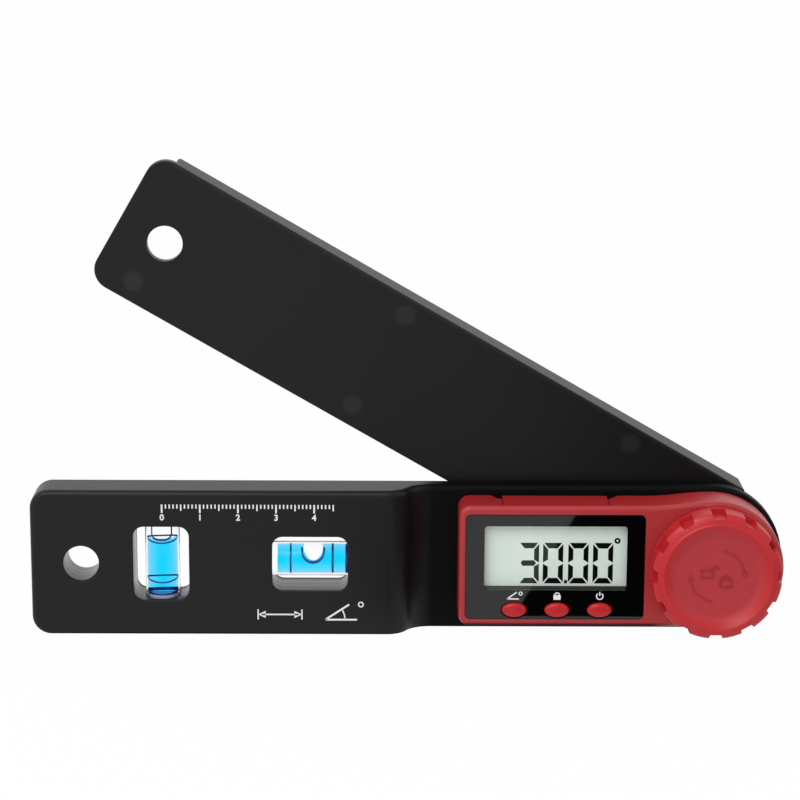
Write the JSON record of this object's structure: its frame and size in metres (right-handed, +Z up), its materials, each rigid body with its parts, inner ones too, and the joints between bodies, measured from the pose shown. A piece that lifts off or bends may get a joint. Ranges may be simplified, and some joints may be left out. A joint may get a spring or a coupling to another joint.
{
  "type": "digital angle finder",
  "caption": "Digital angle finder: a long arm with spirit vials and a display housing, a flat flanged arm that swings about the pivot, and a dished lock knob.",
  "frame": {"origin": "on the lower arm's reference edge, straight under the pivot axis, half-way through the tongue's thickness", "axes": "+Z up from the reference edge on which the tool stands, +X along the lower arm from its tip to the pivot end, +Y from the display to the back"},
  "size_m": [0.1993, 0.0359, 0.1248],
  "materials": {
    "black_plastic": "fine satin moulded ABS, black",
    "red_plastic": "satin moulded ABS, red",
    "button_red": "satin moulded, red",
    "panel_black": "gloss, printed black from behind",
    "clear_acrylic": "polished clear acrylic",
    "vial_liquid": "clear blue vial liquid",
    "display_glass": "pale grey-green liquid crystal display",
    "white_plastic": "white moulded plastic",
    "contact_rubber": "striped silicone contact strip",
    "circuit_board": "green solder mask on glass-fibre board",
    "chip_resin": "black resin",
    "component_metal": "tinned metal",
    "screw_steel": "zinc-plated steel",
    "bolt_steel": "turned steel",
    "bush_brass": "turned brass",
    "washer_plastic": "white low-friction plastic",
    "cell_steel": "nickel-plated can"
  },
  "bodies": {
    "lower_arm": {"lower_arm_shell": "black_plastic", "lower_arm_back_plate": "black_plastic", "back_plate_screws": "screw_steel", "plumb_vial": "clear_acrylic", "plumb_vial_liquid": "vial_liquid", "level_vial": "clear_acrylic", "level_vial_liquid": "vial_liquid", "vial_end_plugs": "clear_acrylic", "vial_saddles": "black_plastic", "display_cover": "red_plastic", "face_plate": "panel_black", "display_lens": "clear_acrylic", "lcd_glass": "display_glass", "lcd_bezel": "white_plastic", "zebra_strips": "contact_rubber", "main_board": "circuit_board", "board_screws": "screw_steel", "controller_chip": "chip_resin", "board_components": "component_metal", "tact_switches": "chip_resin", "housing_screws": "screw_steel", "battery_contact_negative": "component_metal", "battery_contact_positive": "component_metal", "pivot_bush": "bush_brass", "friction_washer": "washer_plastic"},
    "upper_arm": {"upper_arm": "black_plastic", "pivot_bolt": "bolt_steel", "pivot_cap": "black_plastic", "rotor_hub": "white_plastic", "rotor_disc": "circuit_board", "stop_pin": "bolt_steel"},
    "keyed_washer": {"keyed_washer": "bolt_steel"},
    "knob": {"lock_knob": "red_plastic", "knob_insert": "bush_brass"},
    "button_mode": {"button_mode": "button_red"},
    "button_hold": {"button_hold": "button_red"},
    "button_power": {"button_power": "button_red"},
    "battery_tray": {"battery_tray": "red_plastic", "coin_cell": "cell_steel"}
  },
  "joints": [
    {"name": "arm_swing", "type": "hinge", "parent": "lower_arm", "child": "upper_arm", "pos_m": [0, 0.0028, 0.01975], "axis": [0, 1, 0], "range_deg": [-30, 170]},
    {"name": "knob_lift", "type": "slide", "parent": "upper_arm", "child": "keyed_washer", "axis": [0, -1, 0], "range_m": [0, 0.0005]},
    {"name": "knob_turn", "type": "hinge", "parent": "keyed_washer", "child": "knob", "pos_m": [0, -0.014, 0.01975], "axis": [0, -1, 0], "range_deg": [0, 180]},
    {"name": "button_mode_press", "type": "slide", "parent": "lower_arm", "child": "button_mode", "axis": [0, 1, 0], "range_m": [0, 0.0006], "stiffness_N_per_m": 800},
    {"name": "button_hold_press", "type": "slide", "parent": "lower_arm", "child": "button_hold", "axis": [0, 1, 0], "range_m": [0, 0.0006], "stiffness_N_per_m": 800},
    {"name": "button_power_press", "type": "slide", "parent": "lower_arm", "child": "button_power", "axis": [0, 1, 0], "range_m": [0, 0.0006], "stiffness_N_per_m": 800},
    {"name": "battery_slide", "type": "slide", "parent": "lower_arm", "child": "battery_tray", "axis": [0, 0, 1], "range_m": [0, 0.024]}
  ],
  "couplings": [
    {"joint": "knob_turn", "follows": "knob_lift", "rad_per_m": 6283.2}
  ]
}
